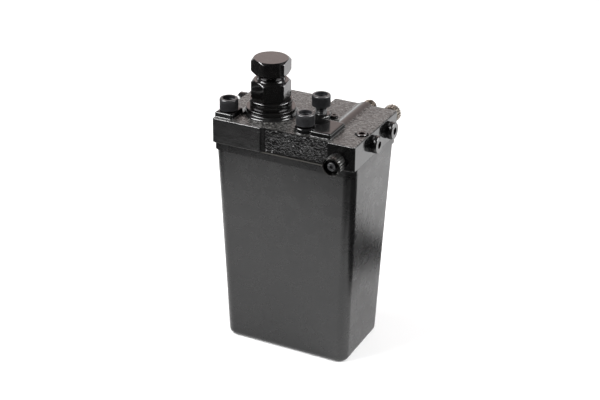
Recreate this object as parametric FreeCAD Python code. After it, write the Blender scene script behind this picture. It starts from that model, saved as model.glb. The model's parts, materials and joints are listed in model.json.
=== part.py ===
import FreeCAD, Part
import math
import os

# Hydraulic hand pump: a cast valve block on a tapered oil tank. A wrench on the top hexagon rocks
# the shaft, whose crank pin drives a plunger under the block. Millimetres, +Z up, -Y is the front.
# The origin is the centre of the tank's underside.

Vector = FreeCAD.Vector
UP = Vector(0, 0, 1)
RIGHT = Vector(1, 0, 0)
BACK = Vector(0, 1, 0)

# Reservoir tank
TANK_BOTTOM = (117.8, 73.1)
TANK_TOP = (130.7, 88.8)
TANK_WALL_TOP = 186.5
TANK_CORNER = 9.0
TANK_BOTTOM_ROUND = 4.7
TANK_WALL = 2.0
TANK_FLOOR = 3.0
RIM_SIZE = (132.4, 91.6)
RIM_CORNER = 8.0
RIM_TOP = 192.5
GASKET_THICKNESS = 0.5
GASKET_WIDTH = 2.2

# Valve block
BLOCK_LEFT = -66.0
BLOCK_RIGHT = 66.5
BLOCK_FRONT = -46.0
BLOCK_BACK = 43.2
BLOCK_BOTTOM = RIM_TOP + GASKET_THICKNESS
DECK = 215.0
REAR_LIP = (45.6, 199.0)
FACE_RECESS = (-17.0, 41.8, 2.0)
FACE_STEP_R = 4.0
NOTCH = (1.0, 8.0, 26.5, 200.0)
PAD_TOP = 219.5
PAD_ROUND = 1.8
PAD_CORNER = 1.5
LEFT_PAD = (-65.9, -48.9, -42.0, -22.0)
MIDDLE_PAD = (22.9, 42.0, -40.5, -11.0)
MIDDLE_PAD_TAIL = (6.0, 21.4, -32.3, 7.0)
MIDDLE_PAD_WEB = (15.0, 30.0, -35.0, -11.5)
SCREW_BOSS_R = 9.0
RIDGE_X = 36.4
RIDGE_Z = 209.2
RIDGE_R = 8.0
RIDGE_ROOT_R = 6.0
RIDGE_FRONT = -11.5

# Drive shaft, gland and crank
SHAFT_X = -27.4
SHAFT_Y = -12.0
HEX_AF = 30.0
HEX_TURN = -24.3
HEX_CORNER_R = HEX_AF / 2.0 / math.cos(math.radians(30)) + 0.1
HEX_FACE_R = 14.7
HEX_EDGE = 2.1
HEX_UNDERSIDE = (12.2, 4.9)
CROWN_FOOT = (15.6, 1.6)
SHAFT_TOP = 265.0
SHAFT_HEX_BOTTOM = 249.5
NECK_R = 11.0
NECK_BOTTOM = 247.3
JOURNAL_R = 10.0
BOSS_TOP = 219.0
BOSS_TOP_R = 21.5
BOSS_FOOT_R = 25.0
WASHER_TOP = 222.0
SPACER_TOP = 226.0
SPACER_R = 18.0
COLLAR_TOP = 229.0
COLLAR_R = 18.5
RING_EDGE = 0.35
GLAND_TOP = 245.8
GLAND_THREAD_R = 15.0
GLAND_BOTTOM = 201.5
GLAND_GROOVE = (19.0, 16.5, 1.8)
BUSH_R = 12.0
BUSH_BOTTOM = 203.0
BUSH_TOP = 231.0
SEAL_TOP = 238.0
WIPER_R = 12.4
WIPER_BOTTOM = 242.5
WIPER_TOP = 247.0
WIPER_SLOPE = 1.8
DISC_R = 17.5
DISC_TOP = 190.7
DISC_BOTTOM = 181.0
DISC_SEAT_R = 7.0
DISC_WEB = (185.0, 187.0)
DISC_HEAD_R = 5.2
DOWEL_R = 1.25
DOWEL_GAP = 0.03
DOWEL_Y = SHAFT_Y + 5.0
THRUST_WASHER_R = 16.0
CRANK_THROW = 12.0
CRANK_PIN_R = 4.0
CRANK_PIN_BOTTOM = 169.0

# Plunger, barrel and guide
PLUNGER_Y = -23.2
PLUNGER_Z = 175.0
PLUNGER_R = 7.0
PLUNGER_TIP = 30.0
ROD_NECK_R = 4.9
ROD_NECK = 16.0
TAIL_R = 4.0
TAIL_END = -55.5
YOKE_HALF = (8.0, 10.0, 5.0)
YOKE_SLOT_GAP = 0.15
YOKE_SLOT_END_GAP = 0.6
ROCK_LIMIT = 30.0
BARREL = (8.0, 50.0, -38.0, -3.5, 161.0)
CHAMBER_END = 44.0
SEAL_GROOVE_R = 5.6
SEAL_GROOVE = 2.6
VALVE_X = 40.5
GUIDE = (-58.0, -46.0, -38.2, -8.2, 167.0)
BARREL_SCREWS = ((13.0, -34.2), (31.0, -34.2), (13.0, -8.5), (31.0, -8.5))
GUIDE_SCREWS = ((-52.0, -33.2), (-52.0, -13.2))
M5_TIP = 200.0
M5_R = 2.5
M5_HOLE_R = 2.75
M5_HEAD_R = 4.25
M5_HEAD = 5.0
M5_SOCKET = 4.0

# Galleries in the block: position and size of each drilling
OUTLET_Y = -8.0
RETURN_Y = 24.7
GALLERY_Z = 204.0
LEFT_GALLERY = (15.6, 206.8)
LEFT_GALLERY_DEPTH = 36.0
RETURN_GALLERY_END = 46.0
OUTLET_BORE_TOP = 209.0
SPRING_BORE_R = 3.3
GALLERY_R = 4.0
DRILL_R = 2.0
PLUG_THREAD_R = 5.0
PLUG_THREAD = 7.5
PLUG_SOCKET = 6.0
PLUG_SOCKET_DEPTH = 5.0
PLUG_COLLAR_R = 7.5
PLUG_COLLAR = 4.8
PLUG_SEAL = 1.0
FILLER_COLLAR_R = 8.5
FILLER_COLLAR = 5.4
LIFT_PORT = (58.0, 207.5)
RETURN_PORT = (RIDGE_X, RIDGE_Z)
PORT_THREAD_R = 5.0
PORT_THREAD = 9.7
LIFT_R = 7.8
LIFT_ROOT_R = 7.1
LIFT_RIDGES = 20
RETURN_R = 6.3
RETURN_ROOT_R = 5.7
PORT_END = 54.5
PORT_RIB_PITCH = 2.0
TUBE_SEAT_R = 4.05
TUBE_SEAT = 8.5

# Check, relief and suction valves
BALL_R = 3.0
SEAT_R = 2.0
POCKET_R = 3.8
SEAT_GAP = 0.05
OUTLET_SEAT_Z = 187.0
SUCTION_SEAT_Z = 157.0
RELIEF = (24.8, 3.6)
RELIEF_SEAT_Z = 199.0
RELIEF_SEAT_R = 1.2
RELIEF_BALL_R = 2.5
RELIEF_SCREW_BOTTOM = 208.3
OUTLET_SPRING = (2.4, 0.4, 191.9, 208.4, 7)
RELIEF_SPRING = (1.9, 0.35, 203.6, 207.8, 3)
M6_R = 3.0
SUCTION_R = 6.0
SUCTION_BODY = (146.0, 153.0, 160.9, 165.5)
SUCTION_HEX = 13.0
TUBE_R = 4.0
TUBE_BORE = 2.5
STRAINER = (10.0, 30.0, 10.0)
RETURN_TUBE = (-50.0, 100.0)

# Fasteners and selector
M10_R = 5.0
M10_HEAD_R = 8.0
M10_HEAD = 10.0
M10_SOCKET = 8.0
M10_LENGTH = 16.0
BRACKET_SCREWS = ((-57.0, -32.3, 220.3), (15.0, -32.3, 221.0), (15.0, -2.0, 226.5))
TAPPED_BOTTOM = 202.5
M8_R = 4.0
TIE_HEAD_R = 6.5
TIE_SEAT = 205.5
TIE_WASHER = 1.5
TIE_TIP = 8.0
ANCHOR_R = 9.0
ANCHOR_TOP = 18.0
BLEED_PLUG = (60.0, -17.6, 5.0, 6.0)
BLEED_RECESS = (5.7, 1.6)
BLEED_HEAD = (4.4, 0.9)
SELECTOR_X = 52.0
SELECTOR_Z = 200.5
CARTRIDGE_R = 5.5
CARTRIDGE_FLANGE_R = 7.0
CARTRIDGE_GROOVE = (-30.0, -28.0, 4.6)
SPINDLE_GROOVE = (-40.0, -38.0, 2.7)
CARTRIDGE_FRONT = -47.5
CARTRIDGE_BACK = -22.3
SPINDLE_R = 3.5
KNOB_R = 8.0
KNOB_RECESS_R = 6.65
KNOB_BORE_R = 3.0
KNOB_WASHER = (6.3, 2.1, 0.8)
M4_R = 2.0
KNOB_ROOT_R = 7.4
KNOB_RIDGES = 22
KNOB_PLAIN = 1.6
KNOB_FRONT = -60.0
KNOB_FLOOR = -55.5
KNOB_BACK = -47.8

THREAD_GAP = 0.05
RUNNING_GAP = 0.03
PRESS_GAP = 0.02


def at(x, y, z):
    return Vector(x, y, z)


def cylinder(radius, length, start, axis=UP):
    return Part.makeCylinder(radius, length, start, axis)


def ring(outer, inner, length, start, axis=UP):
    return cylinder(outer, length, start, axis).cut(cylinder(inner, length, start, axis))


def block(x0, x1, y0, y1, z0, z1):
    return Part.makeBox(x1 - x0, y1 - y0, z1 - z0, at(x0, y0, z0))


def turned(profile, start=Vector(0, 0, 0), axis=UP):
    """Solid of revolution: profile holds (radius, distance along the axis) points."""
    outline = [at(radius, 0, along) for radius, along in profile]
    solid = Part.Face(Part.makePolygon(outline + outline[:1])).revolve(Vector(), UP, 360)
    solid.Placement = FreeCAD.Placement(start, FreeCAD.Rotation(UP, axis))
    return solid


def hexagon(across_flats, length, start, axis=UP, turn=0.0):
    """Six-sided bar whose first corner lies at the angle turn."""
    reach = across_flats / 2.0 / math.cos(math.radians(30))
    corners = []
    for side in range(7):
        angle = math.radians(turn + 60 * side)
        corners.append(at(reach * math.cos(angle), reach * math.sin(angle), 0))
    bar = Part.Face(Part.makePolygon(corners)).extrude(at(0, 0, length))
    bar.Placement = FreeCAD.Placement(start, FreeCAD.Rotation(UP, axis))
    return bar


def rounded_outline(width, depth, corner, z):
    """Wire of a rectangle with round corners, centred on the Z axis."""
    half_w = width / 2.0
    half_d = depth / 2.0
    edges = []
    centres = ((1, 1), (-1, 1), (-1, -1), (1, -1))
    for index, (sx, sy) in enumerate(centres):
        middle = at(sx * (half_w - corner), sy * (half_d - corner), z)
        first = 90.0 * index
        edges.append(Part.makeCircle(corner, middle, UP, first, first + 90.0))
    outline = []
    for index, arc in enumerate(edges):
        following = edges[(index + 1) % 4]
        outline.append(arc)
        outline.append(Part.makeLine(arc.Vertexes[-1].Point, following.Vertexes[0].Point))
    return Part.Wire(outline)


def rounded_slab(width, depth, corner, z0, z1):
    return Part.Face(rounded_outline(width, depth, corner, z0)).extrude(at(0, 0, z1 - z0))


def edges_where(shape, test):
    return [edge for edge in shape.Edges if test(edge.BoundBox)]


def soft_box(x0, x1, y0, y1, z0, z1, corner, top_round):
    """Box with round upright corners and a round upper edge."""
    shape = block(x0, x1, y0, y1, z0, z1)
    upright = edges_where(shape, lambda box: box.ZLength > (z1 - z0) * 0.9)
    shape = shape.makeFillet(corner, upright)
    upper = edges_where(shape, lambda box: box.ZMin > z1 - 0.01)
    return shape.makeFillet(top_round, upper)


def spring(coil_r, wire_r, bottom, top, turns, x, y):
    """Open coil spring whose wire centre runs from bottom to top."""
    path = Part.makeHelix((top - bottom) / turns, top - bottom, coil_r)
    section = Part.Wire(Part.makeCircle(wire_r, at(coil_r, 0, 0), BACK))
    coil = Part.Wire(path).makePipeShell([section], True, True)
    coil.translate(at(x, y, bottom))
    return coil


def cap_screw(radius, head_r, head, length, socket, seat, axis=UP):
    """Socket-head screw: its seat is under the head, and axis points out of the socket."""
    edge = head * 0.08
    profile = [(0, -length), (radius - 0.5, -length), (radius, -length + 0.5), (radius, 0),
               (head_r, 0), (head_r, head - edge), (head_r - edge, head), (0, head)]
    screw = turned(profile, seat, axis)
    depth = head * 0.55
    recess_start = seat + axis * (head - depth)
    return screw.cut(hexagon(socket, depth, recess_start, axis))


def merged(shapes):
    whole = shapes[0]
    for shape in shapes[1:]:
        whole = whole.fuse(shape)
    return whole.removeSplitter()


def tank_size(z):
    share = z / TANK_WALL_TOP
    width = TANK_BOTTOM[0] + (TANK_TOP[0] - TANK_BOTTOM[0]) * share
    depth = TANK_BOTTOM[1] + (TANK_TOP[1] - TANK_BOTTOM[1]) * share
    return width, depth


def tank_loft(z0, z1, inset):
    wires = []
    for z in (z0, z1):
        width, depth = tank_size(z)
        corner = TANK_CORNER - inset
        wires.append(rounded_outline(width - 2 * inset, depth - 2 * inset, corner, z))
    return Part.makeLoft(wires, True, True)


def reservoir_tank():
    outside = tank_loft(0, TANK_WALL_TOP, 0)
    bottom = edges_where(outside, lambda box: box.ZMax < 0.01)
    outside = outside.makeFillet(TANK_BOTTOM_ROUND, bottom)
    rim = rounded_slab(RIM_SIZE[0], RIM_SIZE[1], RIM_CORNER, TANK_WALL_TOP, RIM_TOP)
    return outside.fuse(rim).cut(tank_loft(TANK_FLOOR, RIM_TOP + 1, TANK_WALL))


def tank_gasket():
    width, depth = RIM_SIZE
    outside = rounded_slab(width - 0.6, depth - 0.6, RIM_CORNER - 0.3, RIM_TOP, BLOCK_BOTTOM)
    inset = 0.6 + 2 * GASKET_WIDTH
    opening = rounded_slab(width - inset, depth - inset, RIM_CORNER - 2.4, RIM_TOP, BLOCK_BOTTOM)
    return outside.cut(opening)


def deck_ridge():
    """Rounded rib along Y over the return gallery, blended into the deck by a hollow radius."""
    rise = DECK + RIDGE_ROOT_R - RIDGE_Z
    reach = RIDGE_R + RIDGE_ROOT_R
    foot = math.sqrt(reach ** 2 - rise ** 2)
    lean = math.atan2(foot, rise)
    half = lean / 2.0

    def crown(angle):
        return at(RIDGE_X + RIDGE_R * math.sin(angle), 0, RIDGE_Z + RIDGE_R * math.cos(angle))

    def hollow(side, angle):
        centre_x = RIDGE_X + side * foot
        return at(centre_x - side * RIDGE_ROOT_R * math.sin(angle), 0,
                  DECK + RIDGE_ROOT_R - RIDGE_ROOT_R * math.cos(angle))

    edges = [Part.Arc(hollow(-1, 0), hollow(-1, half), hollow(-1, lean)).toShape(),
             Part.Arc(crown(-lean), crown(0), crown(lean)).toShape(),
             Part.Arc(hollow(1, lean), hollow(1, half), hollow(1, 0)).toShape(),
             Part.makeLine(hollow(1, 0), hollow(1, 0) - UP * 2),
             Part.makeLine(hollow(1, 0) - UP * 2, hollow(-1, 0) - UP * 2),
             Part.makeLine(hollow(-1, 0) - UP * 2, hollow(-1, 0))]
    rib = Part.Face(Part.Wire(edges)).extrude(BACK * (BLOCK_BACK - RIDGE_FRONT))
    rib.translate(BACK * RIDGE_FRONT)
    return rib


def block_body():
    """Outside shape of the casting: slab, rear lip, pads, ridge and gland boss."""
    slab = block(BLOCK_LEFT, BLOCK_RIGHT, BLOCK_FRONT, BLOCK_BACK, BLOCK_BOTTOM, DECK)
    slab = slab.makeFillet(1.6, edges_where(slab, lambda box: box.ZLength > 20))
    slab = slab.makeFillet(0.8, edges_where(slab, lambda box: box.ZMin > DECK - 0.01))
    x0, x1, depth = FACE_RECESS
    floor = BLOCK_FRONT + depth
    recess = block(x0, x1, BLOCK_FRONT - 2, floor, BLOCK_BOTTOM, DECK)
    step = cylinder(FACE_STEP_R, DECK - BLOCK_BOTTOM, at(x0, floor - FACE_STEP_R, BLOCK_BOTTOM))
    slab = slab.cut(recess.fuse(step))
    notch = block(NOTCH[0], NOTCH[1], NOTCH[2], BLOCK_BACK + 5, NOTCH[3], DECK + 1)
    notch = notch.makeFillet(3.0, edges_where(notch, lambda box: box.ZLength > 10))
    slab = slab.cut(notch)
    lip = block(BLOCK_LEFT, BLOCK_RIGHT, 40, REAR_LIP[0], BLOCK_BOTTOM, REAR_LIP[1])
    lip = lip.makeFillet(2.0, edges_where(lip, lambda box: box.ZLength > 5 and box.YMin > 41))
    pads = [LEFT_PAD, MIDDLE_PAD, MIDDLE_PAD_TAIL, MIDDLE_PAD_WEB]
    raised = [soft_box(*pad, DECK - 6, PAD_TOP, PAD_CORNER, PAD_ROUND) for pad in pads]
    for x, y, _ in BRACKET_SCREWS[1:]:
        screw_boss = cylinder(SCREW_BOSS_R, PAD_TOP - DECK + 6, at(x, y, DECK - 6))
        upper = edges_where(screw_boss, lambda box: box.ZMin > PAD_TOP - 0.01)
        raised.append(screw_boss.makeFillet(PAD_ROUND, upper))
    boss = turned([(0, DECK - 2), (BOSS_FOOT_R + 1.4, DECK - 2), (BOSS_FOOT_R, DECK),
                   (BOSS_FOOT_R - 2.2, DECK + 1.4), (BOSS_TOP_R + 0.4, BOSS_TOP - 0.6),
                   (BOSS_TOP_R, BOSS_TOP), (0, BOSS_TOP)], at(SHAFT_X, SHAFT_Y, 0))
    return merged([slab, lip] + raised + [deck_ridge(), boss])


def shaft_bores():
    middle = at(SHAFT_X, SHAFT_Y, 0)
    thread_r = GLAND_THREAD_R + THREAD_GAP
    outer, inner, depth = GLAND_GROOVE
    groove = ring(outer, inner, depth, at(SHAFT_X, SHAFT_Y, BOSS_TOP - depth))
    return [turned([(0, 190), (JOURNAL_R + 0.3, 190), (JOURNAL_R + 0.3, 201), (thread_r, 201),
                    (thread_r, BOSS_TOP + 1), (0, BOSS_TOP + 1)], middle), groove]


def gallery_bores():
    """Cross drillings, each with a tapped mouth that a plug closes."""
    mouth_r = PLUG_THREAD_R + THREAD_GAP
    mouth = PLUG_THREAD + 1
    left_y, left_z = LEFT_GALLERY
    outlet = at(VALVE_X - 4.5, OUTLET_Y, GALLERY_Z)
    cuts = [
        cylinder(GALLERY_R, BLOCK_RIGHT - outlet.x, outlet, RIGHT),
        cylinder(GALLERY_R, BLOCK_RIGHT - RETURN_GALLERY_END,
                 at(RETURN_GALLERY_END, RETURN_Y, GALLERY_Z), RIGHT),
        cylinder(GALLERY_R, LEFT_GALLERY_DEPTH, at(BLOCK_LEFT, left_y, left_z), RIGHT),
        cylinder(mouth_r, mouth, at(BLOCK_RIGHT - mouth, OUTLET_Y, GALLERY_Z), RIGHT),
        cylinder(mouth_r, mouth, at(BLOCK_RIGHT - mouth, RETURN_Y, GALLERY_Z), RIGHT),
        cylinder(mouth_r, mouth, at(BLOCK_LEFT, left_y, left_z), RIGHT),
        cylinder(DRILL_R, RIDGE_Z - GALLERY_Z, at(RIDGE_X, OUTLET_Y, GALLERY_Z)),
        cylinder(SPRING_BORE_R, OUTLET_BORE_TOP - BLOCK_BOTTOM, at(VALVE_X, OUTLET_Y, BLOCK_BOTTOM)),
        cylinder(POCKET_R, 5.5, at(VALVE_X, OUTLET_Y, BLOCK_BOTTOM)),
        cylinder(TUBE_R + PRESS_GAP, 6.0, at(RETURN_TUBE[0], left_y, BLOCK_BOTTOM)),
        cylinder(TUBE_BORE, left_z - BLOCK_BOTTOM, at(RETURN_TUBE[0], left_y, BLOCK_BOTTOM)),
    ]
    for (x, z), drilling_end in ((LIFT_PORT, RETURN_Y), (RETURN_PORT, OUTLET_Y)):
        seat = BLOCK_BACK - PORT_THREAD - 0.5
        cuts.append(cylinder(PORT_THREAD_R + THREAD_GAP, PORT_THREAD + 0.5, at(x, seat, z), BACK))
        cuts.append(cylinder(DRILL_R, seat - drilling_end, at(x, drilling_end, z), BACK))
    return cuts


def fastener_bores():
    cuts = []
    for x, y, _ in BRACKET_SCREWS:
        depth = PAD_TOP + 1 - TAPPED_BOTTOM
        cuts.append(cylinder(M10_R + THREAD_GAP, depth, at(x, y, TAPPED_BOTTOM)))
    for x, y in BARREL_SCREWS + GUIDE_SCREWS:
        cuts.append(cylinder(M5_R + THREAD_GAP, M5_TIP + 0.5 - BLOCK_BOTTOM, at(x, y, BLOCK_BOTTOM)))
    cuts.append(cylinder(TIE_HEAD_R + 0.4, DECK + 1 - TIE_SEAT, at(0, 0, TIE_SEAT)))
    cuts.append(cylinder(M8_R + 0.3, TIE_SEAT - BLOCK_BOTTOM, at(0, 0, BLOCK_BOTTOM)))
    x, y, radius, depth = BLEED_PLUG
    cuts.append(cylinder(radius + THREAD_GAP, depth + 1, at(x, y, DECK - depth)))
    recess_r, recess_depth = BLEED_RECESS
    cuts.append(cylinder(recess_r, recess_depth + 1, at(x, y, DECK - recess_depth)))
    x, y = RELIEF
    cuts.append(cylinder(RELIEF_SEAT_R, RELIEF_SEAT_Z - BLOCK_BOTTOM, at(x, y, BLOCK_BOTTOM)))
    cuts.append(cylinder(M6_R + THREAD_GAP, DECK + 6 - RELIEF_SEAT_Z, at(x, y, RELIEF_SEAT_Z)))
    bore_end = CARTRIDGE_BACK + 4.3
    start = at(SELECTOR_X, BLOCK_FRONT - 1, SELECTOR_Z)
    cuts.append(cylinder(CARTRIDGE_R + THREAD_GAP, bore_end - start.y, start, BACK))
    cuts.append(cylinder(DRILL_R, RETURN_Y - bore_end, at(SELECTOR_X, bore_end, SELECTOR_Z), BACK))
    return cuts


def valve_block():
    body = block_body()
    for cut in shaft_bores() + gallery_bores() + fastener_bores():
        body = body.cut(cut)
    return body.removeSplitter()


def hex_on_axis(profile):
    """Hexagon bar on the shaft axis, trimmed by a turned profile."""
    bottom = profile[0][1]
    top = profile[-1][1]
    bar = hexagon(HEX_AF, top - bottom, at(SHAFT_X, SHAFT_Y, bottom), UP, HEX_TURN)
    return bar.common(turned(profile, at(SHAFT_X, SHAFT_Y, 0)))


def pump_shaft():
    foot_r, foot_rise = HEX_UNDERSIDE
    drive = hex_on_axis([(0, SHAFT_HEX_BOTTOM), (foot_r, SHAFT_HEX_BOTTOM),
                         (HEX_CORNER_R, SHAFT_HEX_BOTTOM + foot_rise),
                         (HEX_CORNER_R, SHAFT_TOP - HEX_EDGE), (HEX_FACE_R, SHAFT_TOP),
                         (0, SHAFT_TOP)])
    stem = turned([(0, DISC_WEB[1]), (DISC_SEAT_R, DISC_WEB[1]), (DISC_SEAT_R, DISC_TOP),
                   (JOURNAL_R, DISC_TOP), (JOURNAL_R, NECK_BOTTOM), (NECK_R, NECK_BOTTOM),
                   (NECK_R, SHAFT_HEX_BOTTOM + 0.5), (0, SHAFT_HEX_BOTTOM + 0.5)],
                  at(SHAFT_X, SHAFT_Y, 0))
    tapped = cylinder(M6_R + THREAD_GAP, 14.0, at(SHAFT_X, SHAFT_Y, DISC_WEB[1]))
    dowel_hole = cylinder(DOWEL_R + DOWEL_GAP, 6.5, at(SHAFT_X, DOWEL_Y, DISC_WEB[1]))
    return merged([drive, stem]).cut(tapped).cut(dowel_hole)


def crank_disc():
    disc = turned([(0, DISC_BOTTOM), (DISC_R - 0.8, DISC_BOTTOM), (DISC_R, DISC_BOTTOM + 0.8),
                   (DISC_R, DISC_TOP - 0.8), (DISC_R - 0.8, DISC_TOP), (0, DISC_TOP)],
                  at(SHAFT_X, SHAFT_Y, 0))
    middle = at(SHAFT_X, SHAFT_Y, DISC_BOTTOM)
    pin_hole = cylinder(CRANK_PIN_R + PRESS_GAP, 20, middle + at(0, -CRANK_THROW, 0))
    head_recess = cylinder(DISC_HEAD_R, DISC_WEB[0] - DISC_BOTTOM, middle)
    screw_hole = cylinder(M6_R + 0.1, 20, middle)
    seat = cylinder(DISC_SEAT_R + PRESS_GAP, 20, at(SHAFT_X, SHAFT_Y, DISC_WEB[1]))
    dowel_hole = cylinder(DOWEL_R + DOWEL_GAP, 20, at(SHAFT_X, DOWEL_Y, DISC_WEB[0]))
    for cut in (pin_hole, head_recess, screw_hole, seat, dowel_hole):
        disc = disc.cut(cut)
    return disc


def gland_nut():
    foot_r, foot_rise = CROWN_FOOT
    crown = hex_on_axis([(0, COLLAR_TOP - 0.5), (foot_r, COLLAR_TOP - 0.5),
                         (HEX_CORNER_R, COLLAR_TOP + foot_rise),
                         (HEX_CORNER_R, GLAND_TOP - HEX_EDGE), (HEX_FACE_R, GLAND_TOP),
                         (0, GLAND_TOP)])
    collar = turned([(0, GLAND_BOTTOM), (GLAND_THREAD_R, GLAND_BOTTOM),
                     (GLAND_THREAD_R, SPACER_TOP), (COLLAR_R - RING_EDGE, SPACER_TOP),
                     (COLLAR_R, SPACER_TOP + RING_EDGE), (COLLAR_R, COLLAR_TOP - RING_EDGE),
                     (COLLAR_R - RING_EDGE, COLLAR_TOP), (0, COLLAR_TOP)], at(SHAFT_X, SHAFT_Y, 0))
    bore = turned([(0, GLAND_BOTTOM - 1), (BUSH_R + PRESS_GAP, GLAND_BOTTOM - 1),
                   (BUSH_R + PRESS_GAP, SEAL_TOP), (JOURNAL_R + 0.3, SEAL_TOP),
                   (JOURNAL_R + 0.3, WIPER_BOTTOM), (WIPER_R + PRESS_GAP, WIPER_BOTTOM),
                   (WIPER_R + PRESS_GAP, GLAND_TOP + 1), (0, GLAND_TOP + 1)],
                  at(SHAFT_X, SHAFT_Y, 0))
    return merged([crown, collar]).cut(bore)


def gland_rings():
    """Seals and rings stacked round the shaft."""
    def stack_ring(outer, inner, z0, z1):
        return ring(outer, inner, z1 - z0, at(SHAFT_X, SHAFT_Y, z0))

    thread_clear = GLAND_THREAD_R + 0.1
    journal = JOURNAL_R + RUNNING_GAP
    wiper = turned([(journal, WIPER_BOTTOM), (WIPER_R, WIPER_BOTTOM),
                    (WIPER_R, WIPER_TOP - WIPER_SLOPE), (WIPER_R - WIPER_SLOPE, WIPER_TOP),
                    (journal, WIPER_TOP)], at(SHAFT_X, SHAFT_Y, 0))
    washer = turned([(thread_clear, BOSS_TOP), (BOSS_TOP_R - RING_EDGE, BOSS_TOP),
                     (BOSS_TOP_R, BOSS_TOP + RING_EDGE), (BOSS_TOP_R, WASHER_TOP - RING_EDGE),
                     (BOSS_TOP_R - RING_EDGE, WASHER_TOP), (thread_clear, WASHER_TOP)],
                    at(SHAFT_X, SHAFT_Y, 0))
    return {
        "gland_seal_washer": washer,
        "gland_spacer_ring": stack_ring(SPACER_R, thread_clear, WASHER_TOP, SPACER_TOP),
        "gland_o_ring": stack_ring(GLAND_GROOVE[0] - 0.1, GLAND_GROOVE[1] + 0.1,
                                   BOSS_TOP - GLAND_GROOVE[2], BOSS_TOP),
        "shaft_bush": stack_ring(BUSH_R, journal, BUSH_BOTTOM, BUSH_TOP),
        "shaft_lip_seal": stack_ring(BUSH_R, journal, BUSH_TOP + 0.5, SEAL_TOP - 0.2),
        "shaft_wiper": wiper,
        "thrust_washer": stack_ring(THRUST_WASHER_R, JOURNAL_R + 0.3, DISC_TOP + 0.3, BLOCK_BOTTOM),
    }


def crank_fasteners():
    pin = cylinder(CRANK_PIN_R, DISC_TOP - 0.2 - CRANK_PIN_BOTTOM,
                   at(SHAFT_X, SHAFT_Y - CRANK_THROW, CRANK_PIN_BOTTOM))
    pin = pin.makeChamfer(0.6, pin.Edges)
    return {
        "crank_pin": pin,
        "crank_dowel": cylinder(DOWEL_R, 8.0, at(SHAFT_X, DOWEL_Y, DISC_WEB[0] + 0.1)),
        "crank_screw": cap_screw(M6_R, 5.0, 3.8, 14.0, 4.0, at(SHAFT_X, SHAFT_Y, DISC_WEB[0]), -UP),
    }


def plunger():
    """Scotch yoke with a pumping rod on its right and a guide rod on its left."""
    half_x, half_y, half_z = YOKE_HALF
    yoke = block(SHAFT_X - half_x, SHAFT_X + half_x, PLUNGER_Y - half_y, PLUNGER_Y + half_y,
                 PLUNGER_Z - half_z, PLUNGER_Z + half_z)
    yoke = yoke.makeFillet(2.0, edges_where(yoke, lambda box: box.ZLength > half_z))
    rod_start = SHAFT_X + half_x - 1
    rod = turned([(0, 0), (ROD_NECK_R, 0), (ROD_NECK_R, ROD_NECK), (PLUNGER_R, ROD_NECK + 2.0),
                  (PLUNGER_R, PLUNGER_TIP - 0.8 - rod_start),
                  (PLUNGER_R - 0.8, PLUNGER_TIP - rod_start), (0, PLUNGER_TIP - rod_start)],
                 at(rod_start, PLUNGER_Y, PLUNGER_Z), RIGHT)
    tail_start = at(TAIL_END, PLUNGER_Y, PLUNGER_Z)
    tail = cylinder(TAIL_R, SHAFT_X - half_x + 1 - TAIL_END, tail_start, RIGHT)
    slot_half = CRANK_PIN_R + YOKE_SLOT_GAP
    far = SHAFT_Y - CRANK_THROW - CRANK_PIN_R - YOKE_SLOT_END_GAP
    near = SHAFT_Y - CRANK_THROW * math.cos(math.radians(ROCK_LIMIT))
    near += CRANK_PIN_R + YOKE_SLOT_END_GAP
    slot = block(SHAFT_X - slot_half, SHAFT_X + slot_half, far, near,
                 PLUNGER_Z - 2 * half_z, PLUNGER_Z + 2 * half_z)
    groove_start = at(PLUNGER_TIP - 6, PLUNGER_Y, PLUNGER_Z)
    groove = ring(PLUNGER_R + 1, SEAL_GROOVE_R, SEAL_GROOVE, groove_start, RIGHT)
    return merged([yoke, rod, tail]).cut(slot).cut(groove)


def pump_barrel():
    x0, x1, y0, y1, z0 = BARREL
    body = block(x0, x1, y0, y1, z0, BLOCK_BOTTOM)
    body = body.makeFillet(3.0, edges_where(body, lambda box: box.ZLength > 20))
    valve = at(VALVE_X, PLUNGER_Y, 0)
    cuts = [
        cylinder(PLUNGER_R + THREAD_GAP, CHAMBER_END - x0, at(x0, PLUNGER_Y, PLUNGER_Z), RIGHT),
        cylinder(DRILL_R + THREAD_GAP, y1 - PLUNGER_Y, at(VALVE_X, PLUNGER_Y, PLUNGER_Z), BACK),
        cylinder(DRILL_R, OUTLET_SEAT_Z - PLUNGER_Z, at(VALVE_X, OUTLET_Y, PLUNGER_Z)),
        cylinder(POCKET_R, BLOCK_BOTTOM - OUTLET_SEAT_Z, at(VALVE_X, OUTLET_Y, OUTLET_SEAT_Z)),
        cylinder(SUCTION_R + THREAD_GAP, 4.6, valve + at(0, 0, z0)),
        cylinder(TUBE_BORE, 8.0, valve + at(0, 0, z0)),
    ]
    for x, y in BARREL_SCREWS:
        cuts.append(cylinder(M5_HOLE_R, BLOCK_BOTTOM - z0, at(x, y, z0)))
    for cut in cuts:
        body = body.cut(cut)
    return body


def plunger_guide():
    x0, x1, y0, y1, z0 = GUIDE
    body = block(x0, x1, y0, y1, z0, BLOCK_BOTTOM)
    body = body.makeFillet(2.0, edges_where(body, lambda box: box.ZLength > 20))
    body = body.cut(cylinder(TAIL_R + THREAD_GAP, x1 - x0, at(x0, PLUNGER_Y, PLUNGER_Z), RIGHT))
    for x, y in GUIDE_SCREWS:
        body = body.cut(cylinder(M5_HOLE_R, BLOCK_BOTTOM - z0, at(x, y, z0)))
    return body


def m5_screws(places, seat_z):
    length = M5_TIP - seat_z
    return [cap_screw(M5_R, M5_HEAD_R, M5_HEAD, length, M5_SOCKET, at(x, y, seat_z), -UP)
            for x, y in places]


def ball_on_seat(ball_r, seat_r, x, y, seat_z):
    height = math.sqrt(ball_r ** 2 - seat_r ** 2) + SEAT_GAP
    return Part.makeSphere(ball_r, at(x, y, seat_z + height))


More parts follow.
